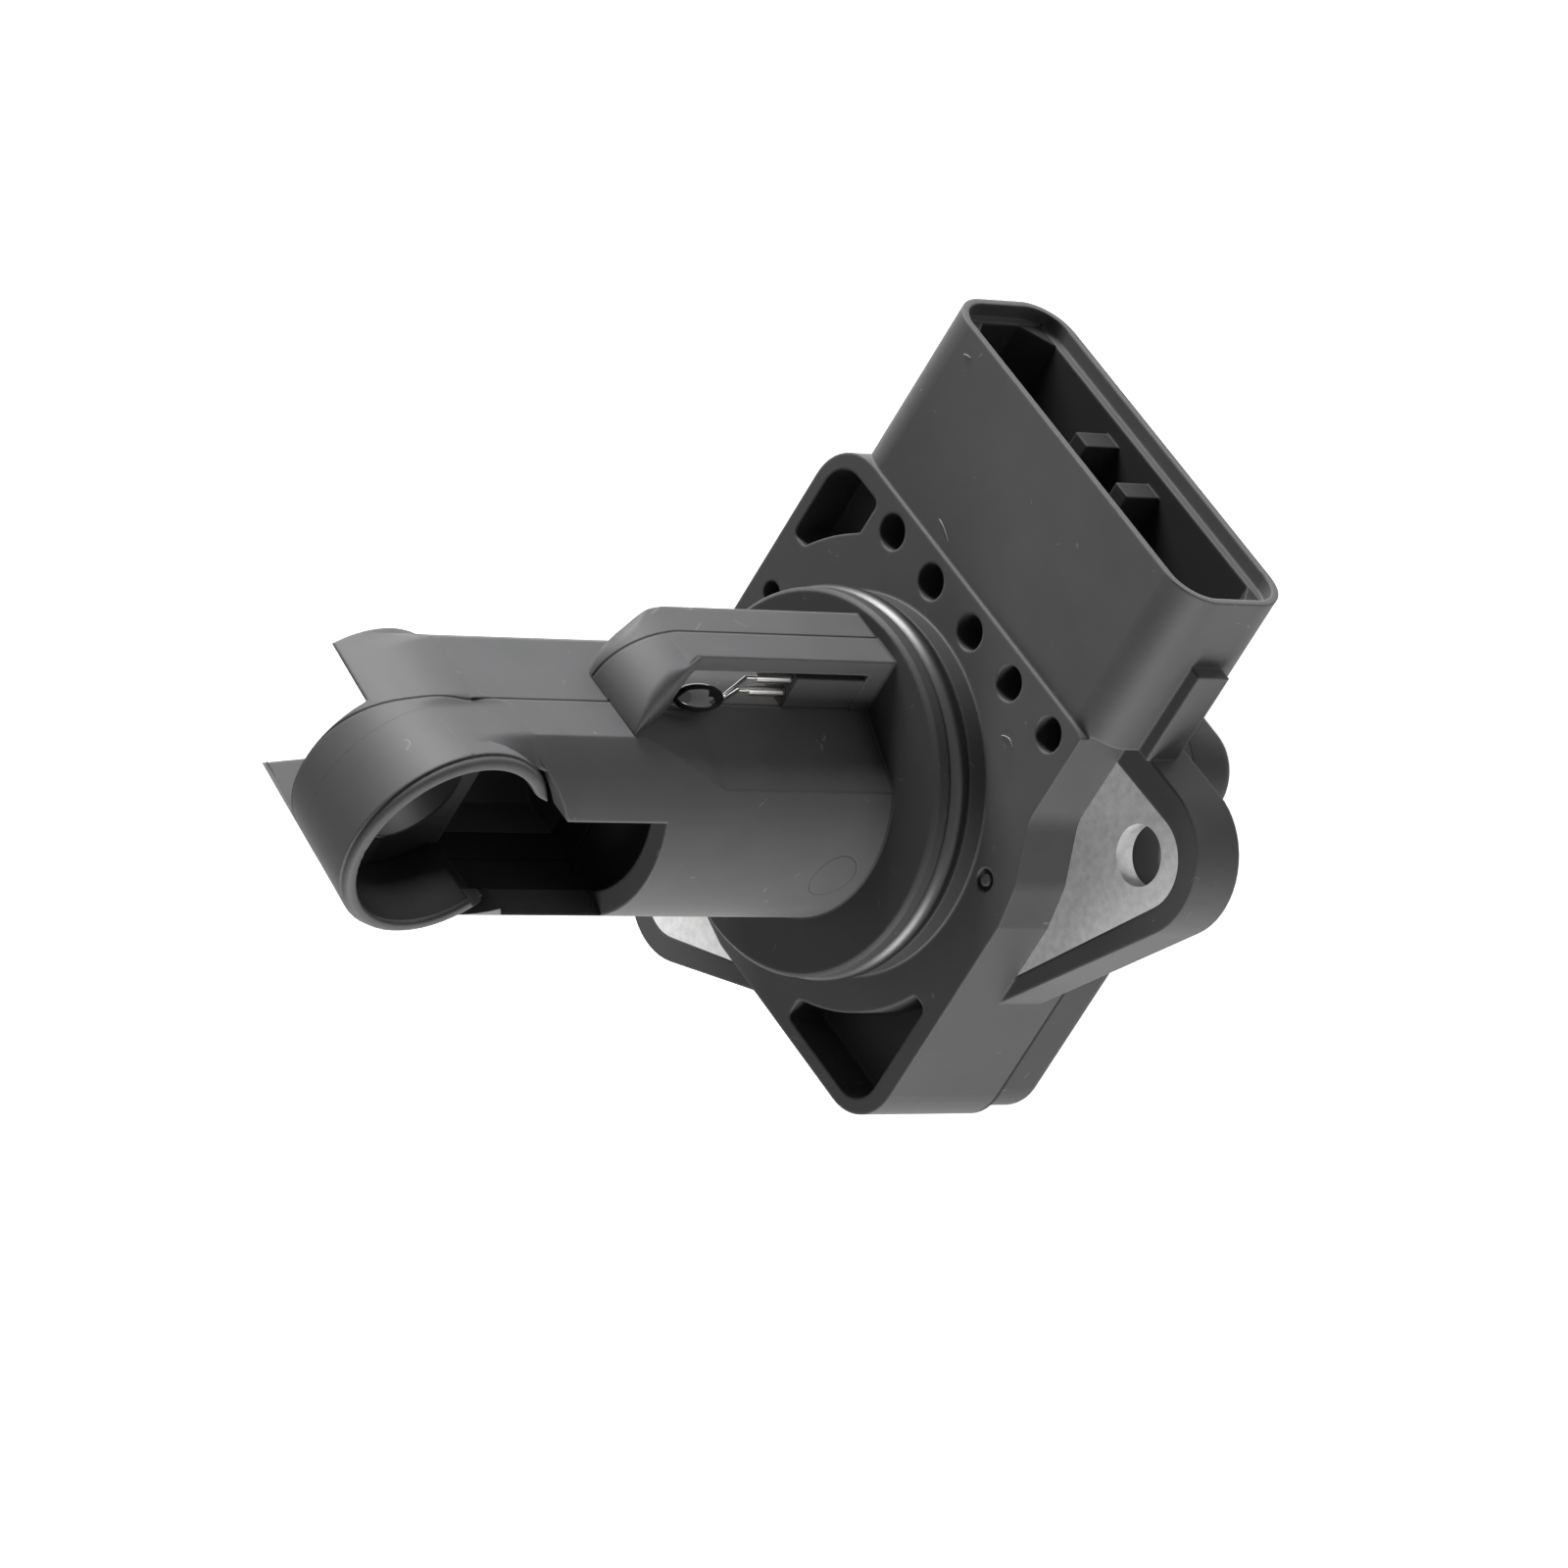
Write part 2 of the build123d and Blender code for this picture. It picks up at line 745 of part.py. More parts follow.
# One wire from the board to each terminal's pad
with BuildPart() as wires:
    for b in terminal_bs:
        with BuildSketch(facing_stream(b)):
            with BuildLine():
                Polyline(
                    (board_high_a - wire_land, board_back_z),
                    (board_high_a - wire_land, board_back_z - wire_rise),
                    (terminal_pad_a + wire_land, board_back_z - wire_rise),
                    (terminal_pad_a + wire_land, pad_low_z),
                    (terminal_pad_a + wire_land - wire_thick, pad_low_z),
                    (terminal_pad_a + wire_land - wire_thick, board_back_z - wire_rise + wire_thick),
                    (board_high_a - wire_land + wire_thick, board_back_z - wire_rise + wire_thick),
                    (board_high_a - wire_land + wire_thick, board_back_z),
                    close=True,
                )
            make_face()
        extrude(amount=wire_width / 2, both=True)
export(wires.part, "bond_wires")

# Pins from the board through the head into the probe
pin_tops = [
    heater_z + pin_over_element,
    heater_z + pin_over_element,
    reference_z + pin_over_element,
    reference_z + pin_over_element,
    temperature_pin_z,
    temperature_pin_z,
]
pin_names = [
    "heater_pin_1",
    "heater_pin_2",
    "reference_pin_1",
    "reference_pin_2",
    "temperature_pin_1",
    "temperature_pin_2",
]
for (a, b), top_z, name in zip(pin_spots, pin_tops, pin_names):
    with BuildPart() as pin:
        with BuildSketch(level(pin_low_z)):
            with Locations((a, -b)):
                Circle(pin_r)
        extrude(amount=top_z - pin_low_z)
    export(pin.part, name)

# Wound elements, each hung between its two pins by its own fine leads
element_span = sense_high_b - sense_low_b - 2 * pin_r
for a, z, name in ((heater_a, heater_z, "heater_element"), (reference_a, reference_z, "reference_element")):
    with BuildPart() as element:
        with BuildSketch(facing_stream(sense_low_b + pin_r)):
            with Locations((a, z)):
                Circle(element_lead_r)
        extrude(amount=element_span)
        with BuildSketch(facing_stream(sense_low_b + pin_r + element_lead_length)):
            with Locations((a, z)):
                Circle(element_r)
        extrude(amount=element_span - 2 * element_lead_length)
    export(element.part, name)

# Glass bead that reads the air's temperature, and its two leads
with BuildPart() as bead:
    with BuildSketch(Plane.XZ):
        Ellipse(bead_r, bead_length / 2)
        with Locations((-bead_r, 0)):
            Rectangle(2 * bead_r, bead_length, mode=Mode.SUBTRACT)
    revolve(axis=Axis.Z)
bead_part = Pos(*spot(bead_a, bead_b), bead_z) * bead.part
export(bead_part, "temperature_bead")

lead_end_z = bead_z - bead_length / 2 + lead_straight
for i, (a, side) in enumerate(((temperature_low_a, -1), (temperature_high_a, 1))):
    with BuildPart() as lead:
        with BuildLine():
            Polyline(
                (*spot(a, temperature_b), temperature_pin_z),
                (*spot(a, temperature_b), temperature_pin_z + lead_straight),
                (*spot(bead_a + side * lead_spread, bead_b), lead_end_z - lead_straight),
                (*spot(bead_a + side * lead_spread, bead_b), lead_end_z),
            )
        with BuildSketch(Plane.XY.offset(temperature_pin_z)):
            with Locations(spot(a, temperature_b)):
                Circle(lead_r)
        sweep(transition=Transition.RIGHT)
        add(bead_part, mode=Mode.SUBTRACT)
    export(lead.part, f"temperature_lead_{i + 1}")

# Back cover and the bead of adhesive that holds it
with BuildPart() as glue:
    with BuildSketch(level(-head_depth)):
        RectangleRounded(glue_side, glue_side, cover_corner - glue_inset)
        RectangleRounded(
            glue_side - 2 * glue_width, glue_side - 2 * glue_width, cavity_corner, mode=Mode.SUBTRACT
        )
    extrude(amount=-glue_thick)
export(glue.part, "cover_adhesive")

with BuildPart() as cover:
    with BuildSketch(level(cover_front_z)):
        RectangleRounded(cover_side, cover_side, cover_corner)
    extrude(amount=-cover_thick)
    fillet(cover.edges().group_by(Axis.Z)[0], radius=cover_round)
    with BuildSketch(level(cover_front_z)):
        RectangleRounded(cover_pocket_side, cover_pocket_side, cavity_corner)
    extrude(amount=-cover_pocket_depth, mode=Mode.SUBTRACT)
export(cover.part, "back_cover")
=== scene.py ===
import math

import bpy
import numpy as np
from mathutils import Matrix, Vector


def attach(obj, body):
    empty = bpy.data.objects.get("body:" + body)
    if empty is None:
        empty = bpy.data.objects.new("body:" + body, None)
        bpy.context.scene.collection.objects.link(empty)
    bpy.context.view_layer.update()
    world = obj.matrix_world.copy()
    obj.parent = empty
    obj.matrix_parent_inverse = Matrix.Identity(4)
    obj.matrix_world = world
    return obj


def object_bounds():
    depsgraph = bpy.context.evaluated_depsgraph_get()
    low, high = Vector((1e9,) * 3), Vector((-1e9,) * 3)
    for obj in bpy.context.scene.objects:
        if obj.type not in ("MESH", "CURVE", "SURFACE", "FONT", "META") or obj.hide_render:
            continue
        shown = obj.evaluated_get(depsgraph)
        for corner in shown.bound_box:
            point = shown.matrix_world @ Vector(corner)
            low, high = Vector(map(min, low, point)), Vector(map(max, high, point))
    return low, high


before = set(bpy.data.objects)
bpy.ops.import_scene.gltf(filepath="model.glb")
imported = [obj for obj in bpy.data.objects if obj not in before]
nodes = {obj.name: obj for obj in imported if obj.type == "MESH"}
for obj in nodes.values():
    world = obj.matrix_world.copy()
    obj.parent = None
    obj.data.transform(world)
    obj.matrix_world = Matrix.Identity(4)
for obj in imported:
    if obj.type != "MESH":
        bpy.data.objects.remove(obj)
cad_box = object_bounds()
bpy.context.scene.view_settings.view_transform = "Standard"

# Moulding: head, plug, connector and the front half of the probe are one piece of glass-filled
# nylon, black with a dull sheen. The probe's back half is the same plastic, welded on along
# the parting plane, which shows as a fine dark line.
MM = 0.001
ROOT_HALF = math.sqrt(0.5)
ALONG_SOCKET = (ROOT_HALF, ROOT_HALF, 0)
ALONG_STREAM = (ROOT_HALF, -ROOT_HALF, 0)
ALONG_PROBE = (0, 0, 1)
HOUSING_TONE = (0.07, 0.07, 0.072)
EDGE_WEAR_AND_HIGHLIGHT_TONE = (0.2, 0.2, 0.2)
SCUFF_TONE = (0.35, 0.35, 0.35)
GAP_AND_SHADE_TONE = (0.003, 0.003, 0.003)
HOUSING_ROUGHNESS = 0.56
PLASTIC_SPECULAR = 0.17
TONE_SPREAD = 0.15
SHEEN_SPREAD = 0.06
GRAIN_DEPTH = 0.006
NOISE_MIDDLE = 0.5
SCUFF_PATCHES = 0.8
SCUFF_RARITY = 0.68
EDGE_GAIN = 5.0
EDGE_WEAR_AND_HIGHLIGHT_SHARE = 0.22
SCUFF_SHARE = 0.25
PLUG_FACE_Z = 5.15
PROBE_FLAT_A = 8.4
PROBE_SEAM_B = 1.4
GUARD_SEAM_B = -1.1
SEAM_FOOT = 0.1
GUARD_FOOT = 0.15
BODY_TOP_Z = 43.1
BARREL_SEAM_SLOPE = 0.31
SEAM_KEEP_OFF = 0.5
SEAM_SHARPNESS = 0.9
JOINT_Z = -10.82
SEAM_SHARE = 0.95
SEAM_DEPTH = 0.06
BARREL_CENTRE_Z = 44.0
BORE_MIDDLE_B = 2.95
BORE_HALF_B = 4.35
CHAMBER_R = 8.07
CHAMBER_HALF_A = 6.63
CHAMBER_MIDDLE_Z = 33.5
CHAMBER_HALF_Z = 9.2
BORE_SHADE_SHARE = 0.8
PLUG_R = 14.3
PLUG_MIDDLE_Z = 2.7
PLUG_HALF_Z = 2.5
PLUG_FACE_HALF = 0.2
PLUG_SHADE_SHARE = 0.55
SOCKET_MIDDLE_Z = -5.59
SOCKET_HALF_Z = 4.05
SOCKET_HALF_B = 15.6
SOCKET_MIDDLE_A = 26.0
SOCKET_HALF_A = 5.4
SOCKET_SHADE_SHARE = 0.75
EJECTOR_A = -0.4
EJECTOR_Z = 8.45
EJECTOR_R = 1.95
EJECTOR_FACE_B = 5.0
EJECTOR_SHARE = 0.3
EJECTOR_DEPTH = 0.03


def wire(tree, kind, settings=(), **inputs):
    """A node of this kind with its settings, and its inputs set, or linked where a socket is given.
    An input is named, or counted as i0, i1 and so on."""
    node = tree.nodes.new(kind)
    for key, value in dict(settings).items():
        setattr(node, key, value)
    for key, value in inputs.items():
        counted = key[0] == "i" and key[1:].isdigit()
        socket = node.inputs[int(key[1:]) if counted else key.replace("_", " ")]
        if isinstance(value, bpy.types.NodeSocket):
            tree.links.new(value, socket)
        else:
            socket.default_value = value
    return node


def maths(tree, operation, *values, clamp=False):
    """The output of a Math node that works on these values or sockets."""
    inputs = {f"i{i}": value for i, value in enumerate(values)}
    settings = {"operation": operation, "use_clamp": clamp}
    return wire(tree, "ShaderNodeMath", settings, **inputs).outputs[0]


def away_from(tree, value, middle):
    """How far a value is from a middle, on either side."""
    return maths(tree, "ABSOLUTE", maths(tree, "SUBTRACT", value, middle))


def within(tree, value, middle, half):
    """1 where a value is nearer to a middle than half, else 0."""
    return maths(tree, "LESS_THAN", away_from(tree, value, middle), half)


def both(tree, *masks):
    """The product of masks: 1 where all of them are 1."""
    product = masks[0]
    for mask in masks[1:]:
        product = maths(tree, "MULTIPLY", product, mask)
    return product


def distance(tree, x, y):
    """How far a point is from an axis: the root of x squared and y squared."""
    squares = maths(tree, "ADD", maths(tree, "MULTIPLY", x, x), maths(tree, "MULTIPLY", y, y))
    return maths(tree, "SQRT", squares)


def fine_line(tree, away, width):
    """1 on a line, falling evenly to 0 at its width."""
    return maths(tree, "SUBTRACT", 1.0, maths(tree, "DIVIDE", away, width), clamp=True)


def millimetres(tree):
    """Object coordinates counted in millimetres."""
    place = wire(tree, "ShaderNodeTexCoord").outputs["Object"]
    scaled = wire(tree, "ShaderNodeVectorMath", {"operation": "SCALE"}, Vector=place, Scale=1 / MM)
    return scaled.outputs[0]


def part_reach(tree):
    """a, b and z of a point in millimetres: along the socket, along the air stream, along the probe."""
    place = millimetres(tree)
    dot = {"operation": "DOT_PRODUCT"}
    return [
        wire(tree, "ShaderNodeVectorMath", dot, i0=place, i1=direction).outputs["Value"]
        for direction in (ALONG_SOCKET, ALONG_STREAM, ALONG_PROBE)
    ]


def new_group(name, inputs, outputs):
    """An empty shader group with these float inputs and outputs."""
    tree = bpy.data.node_groups.new(name, "ShaderNodeTree")
    for key, value in inputs.items():
        socket = tree.interface.new_socket(name=key, in_out="INPUT", socket_type="NodeSocketFloat")
        socket.default_value = value
    for key in outputs:
        tree.interface.new_socket(name=key, in_out="OUTPUT", socket_type="NodeSocketFloat")
    return tree, tree.nodes.new("NodeGroupInput"), tree.nodes.new("NodeGroupOutput")


def placed(tree, group, **inputs):
    """The outputs of a shader group placed in a tree."""
    return wire(tree, "ShaderNodeGroup", {"node_tree": group}, **inputs).outputs


def noise(tree, place, scale, detail, roughness=0.5):
    """Noise from 0 to 1, at a scale in lumps a millimetre."""
    inputs = {"Vector": place, "Scale": scale, "Detail": detail, "Roughness": roughness}
    return wire(tree, "ShaderNodeTexNoise", **inputs).outputs["Fac"]


def grain_group():
    """Mould grain: fine noise for the spark-eroded surface, and slow clouds from the melt's flow."""
    sizes = {"Grain size": 0.12, "Cloud size": 5.0}
    tree, given, out = new_group("mould grain", sizes, ("Fine", "Cloud"))
    place = millimetres(tree)
    fine_scale, cloud_scale = (maths(tree, "DIVIDE", 1.0, given.outputs[size]) for size in sizes)
    tree.links.new(noise(tree, place, fine_scale, detail=3.0, roughness=0.6), out.inputs["Fine"])
    tree.links.new(noise(tree, place, cloud_scale, detail=4.0, roughness=0.55), out.inputs["Cloud"])
    return tree


def scuff_group():
    """Handling marks: fine lines where slow noise passes its middle, kept in a few small patches."""
    tree, given, out = new_group("scuffs", {"Size": 5.0, "Width": 0.006}, ("Marks",))
    place = millimetres(tree)
    scale = maths(tree, "DIVIDE", 1.0, given.outputs["Size"])
    away = away_from(tree, noise(tree, place, scale, detail=1.0), NOISE_MIDDLE)
    line = fine_line(tree, away, given.outputs["Width"])
    chosen = maths(tree, "GREATER_THAN", noise(tree, place, SCUFF_PATCHES, detail=1.0), SCUFF_RARITY)
    tree.links.new(both(tree, line, chosen), out.inputs["Marks"])
    return tree


def seam_group():
    """Parting lines of the probe, straight on the body and the guard and swept back round the barrel,
    and the dark joint where the housing's lower edge meets the cover."""
    tree, given, out = new_group("probe seams", {"Width": 0.17}, ("Seam", "Near"))
    a, b, z = part_reach(tree)
    on_probe = maths(tree, "GREATER_THAN", z, PLUG_FACE_Z + SEAM_FOOT)
    on_guard = maths(tree, "GREATER_THAN", a, PROBE_FLAT_A + GUARD_FOOT)
    past_body = maths(tree, "MAXIMUM", maths(tree, "SUBTRACT", z, BODY_TOP_Z), 0.0)
    swept_b = maths(tree, "ADD", b, maths(tree, "MULTIPLY", past_body, BARREL_SEAM_SLOPE))
    guard_step = maths(tree, "MULTIPLY", on_guard, GUARD_SEAM_B - PROBE_SEAM_B)
    seam_b = maths(tree, "ADD", PROBE_SEAM_B, guard_step)
    line = fine_line(tree, away_from(tree, swept_b, seam_b), given.outputs["Width"])
    joint = maths(tree, "LESS_THAN", z, JOINT_Z)
    seam = maths(tree, "MAXIMUM", both(tree, line, on_probe), joint)
    tree.links.new(seam, out.inputs["Seam"])
    near = both(tree, within(tree, b, seam_b, SEAM_KEEP_OFF), on_probe)
    tree.links.new(near, out.inputs["Near"])
    return tree


def edge_group(seams):
    """Paler edges, a painted edge highlight with some wear: how far the rounded normal turns from the
    face's own. Parting lines stay sharp.
    """
    tree, given, out = new_group("edge wear and painted highlight", {"Radius": 0.3}, ("Edge",))
    tree.interface.new_socket(name="Normal", in_out="OUTPUT", socket_type="NodeSocketVector")
    sharpened = maths(tree, "MULTIPLY", placed(tree, seams)["Near"], SEAM_SHARPNESS)
    soft_share = maths(tree, "SUBTRACT", 1.0, sharpened)
    radius = maths(tree, "MULTIPLY", maths(tree, "MULTIPLY", given.outputs["Radius"], soft_share), MM)
    soft = wire(tree, "ShaderNodeBevel", {"samples": 6}, Radius=radius).outputs["Normal"]
    face = wire(tree, "ShaderNodeNewGeometry").outputs["Normal"]
    dot = wire(tree, "ShaderNodeVectorMath", {"operation": "DOT_PRODUCT"}, i0=soft, i1=face)
    turned = maths(tree, "SUBTRACT", 1.0, dot.outputs["Value"])
    edge = maths(tree, "MULTIPLY", turned, EDGE_GAIN, clamp=True)
    tree.links.new(both(tree, edge, soft_share), out.inputs["Edge"])
    tree.links.new(soft, out.inputs["Normal"])
    return tree


def painted_shade_group():
    """Three masks of 0 and 1, all painted shade: one on the barrel's bore and the chamber, one on the
    plug, which sits inside the duct, and one on the connector's socket inside."""
    tree, given, out = new_group("painted interior shade", {"Bore radius": 7.3}, ("Bore shade", "Socket", "Plug"))
    a, b, z = part_reach(tree)
    from_barrel = distance(tree, a, maths(tree, "SUBTRACT", z, BARREL_CENTRE_Z))
    from_probe = distance(tree, a, b)
    in_bore = maths(tree, "LESS_THAN", from_barrel, given.outputs["Bore radius"])
    in_chamber = both(
        tree,
        maths(tree, "LESS_THAN", from_probe, CHAMBER_R),
        within(tree, a, 0.0, CHAMBER_HALF_A),
        within(tree, z, CHAMBER_MIDDLE_Z, CHAMBER_HALF_Z),
    )
    along_bore = within(tree, b, BORE_MIDDLE_B, BORE_HALF_B)
    bore_shade = both(tree, maths(tree, "MAXIMUM", in_bore, in_chamber), along_bore)
    tree.links.new(bore_shade, out.inputs["Bore shade"])
    on_face = within(tree, z, PLUG_FACE_Z, PLUG_FACE_HALF)
    on_side = both(
        tree, maths(tree, "LESS_THAN", from_probe, PLUG_R), within(tree, z, PLUG_MIDDLE_Z, PLUG_HALF_Z)
    )
    tree.links.new(maths(tree, "MAXIMUM", on_face, on_side), out.inputs["Plug"])
    in_socket = both(
        tree,
        within(tree, z, SOCKET_MIDDLE_Z, SOCKET_HALF_Z),
        within(tree, b, 0.0, SOCKET_HALF_B),
        within(tree, a, SOCKET_MIDDLE_A, SOCKET_HALF_A),
    )
    tree.links.new(in_socket, out.inputs["Socket"])
    return tree


def ejector_group():
    """Ejector pin's mark on the probe: a fine ring, where the distance from its centre is its radius."""
    tree, given, out = new_group("ejector mark", {"Width": 0.12}, ("Ring",))
    a, b, z = part_reach(tree)
    across = maths(tree, "SUBTRACT", a, EJECTOR_A)
    along = maths(tree, "SUBTRACT", z, EJECTOR_Z)
    away = away_from(tree, distance(tree, across, along), EJECTOR_R)
    facing = maths(tree, "GREATER_THAN", b, EJECTOR_FACE_B)
    ring = both(tree, fine_line(tree, away, given.outputs["Width"]), facing)
    tree.links.new(ring, out.inputs["Ring"])
    return tree


grain = grain_group()
scuffs = scuff_group()
probe_seams = seam_group()
edge_wear_and_highlight = edge_group(probe_seams)
ejector_mark = ejector_group()
painted_shade_masks = painted_shade_group()


def blend(tree, factor, low, high):
    """A colour between two, each a colour or a socket."""
    low, high = (c if isinstance(c, bpy.types.NodeSocket) else (*c, 1) for c in (low, high))
    return wire(tree, "ShaderNodeMix", {"data_type": "RGBA"}, Factor=factor, i6=low, i7=high).outputs[2]


def paler_and_darker(colour, spread):
    """A colour with a share of it taken off, and one with the share put on, up to white."""
    return [(1 - spread) * c for c in colour], [min(1, (1 + spread) * c) for c in colour]


def new_finish(name):
    """A new material, its tree and its shader."""
    material = bpy.data.materials.new(name)
    material.use_nodes = True
    return material, material.node_tree, material.node_tree.nodes["Principled BSDF"]


def moulded_plastic(name, tone, roughness, on_housing):
    """Dull black plastic: mould grain, clouded sheen and paler edges, a painted edge highlight with some
    wear, and, where asked, the housing's parting lines, ejector mark and painted shade in the bore,
    chamber, plug and socket."""
    material, tree, shader = new_finish(name)
    grained, edges = placed(tree, grain), placed(tree, edge_wear_and_highlight)
    colour = blend(tree, grained["Cloud"], *paler_and_darker(tone, TONE_SPREAD))
    # Paler edges: a painted edge highlight along every rounded edge, with some wear.
    colour = blend(tree, maths(tree, "MULTIPLY", edges["Edge"], EDGE_WEAR_AND_HIGHLIGHT_SHARE), colour, EDGE_WEAR_AND_HIGHLIGHT_TONE)
    marks = placed(tree, scuffs)["Marks"]
    colour = blend(tree, maths(tree, "MULTIPLY", marks, SCUFF_SHARE), colour, SCUFF_TONE)
    height = maths(tree, "MULTIPLY", grained["Fine"], GRAIN_DEPTH)
    if on_housing:
        dark = placed(tree, painted_shade_masks)
        seam, ring = placed(tree, probe_seams)["Seam"], placed(tree, ejector_mark)["Ring"]
        for mask, share in (
            # The bore and the chamber are darkened toward near black as painted shade.
            (dark["Bore shade"], BORE_SHADE_SHARE),
            # The socket's inside is darkened as painted shade.
            (dark["Socket"], SOCKET_SHADE_SHARE),
            # The plug's face and side are darkened as painted shade.
            (dark["Plug"], PLUG_SHADE_SHARE),
            (seam, SEAM_SHARE),
            (ring, EJECTOR_SHARE),
        ):
            colour = blend(tree, maths(tree, "MULTIPLY", mask, share), colour, GAP_AND_SHADE_TONE)
        for mask, depth in ((seam, SEAM_DEPTH), (ring, EJECTOR_DEPTH)):
            height = maths(tree, "SUBTRACT", height, maths(tree, "MULTIPLY", mask, depth))
    clouds = maths(tree, "ADD", grained["Cloud"], grained["Fine"])
    sheen = maths(tree, "ADD", roughness - SHEEN_SPREAD, maths(tree, "MULTIPLY", clouds, SHEEN_SPREAD))
    bump = wire(
        tree, "ShaderNodeBump", Strength=1.0, Distance=MM, Height=height, Normal=edges["Normal"]
    )
    shader.inputs["Specular IOR Level"].default_value = PLASTIC_SPECULAR
    tree.links.new(colour, shader.inputs["Base Color"])
    tree.links.new(sheen, shader.inputs["Roughness"])
    tree.links.new(bump.outputs["Normal"], shader.inputs["Normal"])
    return material


def dress(node, material):
    """Give a CAD node one material on all its slots."""
    mesh = nodes[node].data
    mesh.materials.clear()
    mesh.materials.append(material)


housing_plastic = moulded_plastic("housing plastic", HOUSING_TONE, HOUSING_ROUGHNESS, on_housing=True)
dress("sensor_housing", housing_plastic)
dress("bypass_shell", housing_plastic)

# Shoulders and hood of the same mouldings: the barrel runs into the body's flats over a smooth
# shoulder on either side, and the guard's end rolls down to the body in one soft cushion.
SHOULDER_BACK_B = -7.28
SHOULDER_FRONT_B = 6.95
SHOULDER_START_Z = (47.2, 46.0)
SHOULDER_END_Z = (42.0, 39.6)
SHOULDER_LAP_START = 1.0
SHOULDER_LAP_END = 1.2
SHOULDER_CHANGE_B = 1.2
SHOULDER_PROUD = 0.02
SHOULDER_SINK = 0.25
SHOULDER_SKIN = 0.2
SHOULDER_SECTIONS = 60
SHOULDER_POINTS = 30
BODY_R = 9.85
BARREL_BACK_R = 7.2
BARREL_FLARE = 1.04 / 14.35
HOOD_LOW_Z = 24.0
HOOD_HIGH_Z = 30.0
HOOD_TOP_A = 13.0
HOOD_BAY_A = 11.7
HOOD_BAY_Z = 25.2
HOOD_BACK_B = (-3.8, -1.1)
HOOD_FRONT_B = (1.62, 5.0)
HOOD_ROUND = 1.2
HOOD_ROUND_Z = 25.5
HOOD_ROUND_RUN = 2.2
HOOD_ROUND_LIMIT = 0.45
HOOD_LEAST_ROUND = 0.05
HOOD_SEAT = 0.05
HOOD_STOP = 0.999
HOOD_SECTIONS = 48
HOOD_CORNER_POINTS = 10
CREASE_ANGLE = math.radians(40)


def part_places(a, b, z):
    """Places in metres from a, b and z in millimetres: X is a + b and Y is a - b, over root 2."""
    a, b, z = np.broadcast_arrays(a, b, z)
    return np.stack([(a + b) * ROOT_HALF, (a - b) * ROOT_HALF, z], axis=-1) * MM


def swept_solid(name, rings, material, turned=False):
    """A solid through closed rings of points: quads join each ring to the next, and a flat end
    closes the first and the last. It is turned where its rings run the other way round."""
    count, around = rings.shape[:2]
    i, j = np.meshgrid(np.arange(count - 1), np.arange(around), indexing="ij")
    this, following, k = i * around, (i + 1) * around, (j + 1) % around
    quads = np.stack([this + j, this + k, following + k, following + j], axis=-1)
    first, last = np.arange(around)[::-1], np.arange(around) + (count - 1) * around
    faces = quads.reshape(-1, 4).tolist() + [first.tolist(), last.tolist()]
    if turned:
        faces = [face[::-1] for face in faces]
    mesh = bpy.data.meshes.new(name)
    mesh.from_pydata(rings.reshape(-1, 3).tolist(), [], faces)
    mesh.materials.append(material)
    mesh.shade_smooth()
    mesh.set_sharp_from_angle(angle=CREASE_ANGLE)
    piece = bpy.data.objects.new(name, mesh)
    bpy.context.scene.collection.objects.link(piece)
    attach(piece, "root")


def smooth(t):
    """0 to 1 along 3t squared less 2t cubed, level at both ends."""
    t = np.clip(t, 0, 1)
    return t * t * (3 - 2 * t)


def between(ends, share):
    """A share of the way from the first of two ends to the second."""
    return ends[0] + share * (ends[1] - ends[0])


def shoulder_rings(side):
    """Sections square to b. The outside passes from the barrel's circle to the body's flat, or to
    its round, by a smooth share of each, and sinks under both at its ends by a parabola. Over the
    parting line its ends move from the back half's heights to the front half's."""
    b = np.linspace(SHOULDER_BACK_B, SHOULDER_FRONT_B, SHOULDER_SECTIONS)[:, None]
    radius = BARREL_BACK_R + (b - SHOULDER_BACK_B) * BARREL_FLARE
    front_share = smooth((b - PROBE_SEAM_B) / SHOULDER_CHANGE_B + 0.5)
    start, end = between(SHOULDER_START_Z, front_share), between(SHOULDER_END_Z, front_share)
    body_a = np.minimum(PROBE_FLAT_A, np.sqrt(BODY_R**2 - b**2)) + SHOULDER_PROUD
    t = np.linspace(0, 1, SHOULDER_POINTS)[None]
    z = between((start + SHOULDER_LAP_START, end - SHOULDER_LAP_END), t)
    share = smooth((start - z) / (start - end))
    above = np.maximum(z - BARREL_CENTRE_Z, 0)
    over_start = np.maximum(z - start, 0) / SHOULDER_LAP_START
    under_end = np.maximum(end - z, 0) / SHOULDER_LAP_END
    sink = SHOULDER_SINK * (over_start**2 + under_end**2)
    a = np.sqrt(radius**2 - above**2) * (1 - share) + body_a * share - sink
    a = np.concatenate([a, a[:, ::-1] - SHOULDER_SKIN], axis=1) * side
    z = np.concatenate([z, z[:, ::-1]], axis=1)
    return part_places(a, b, z)


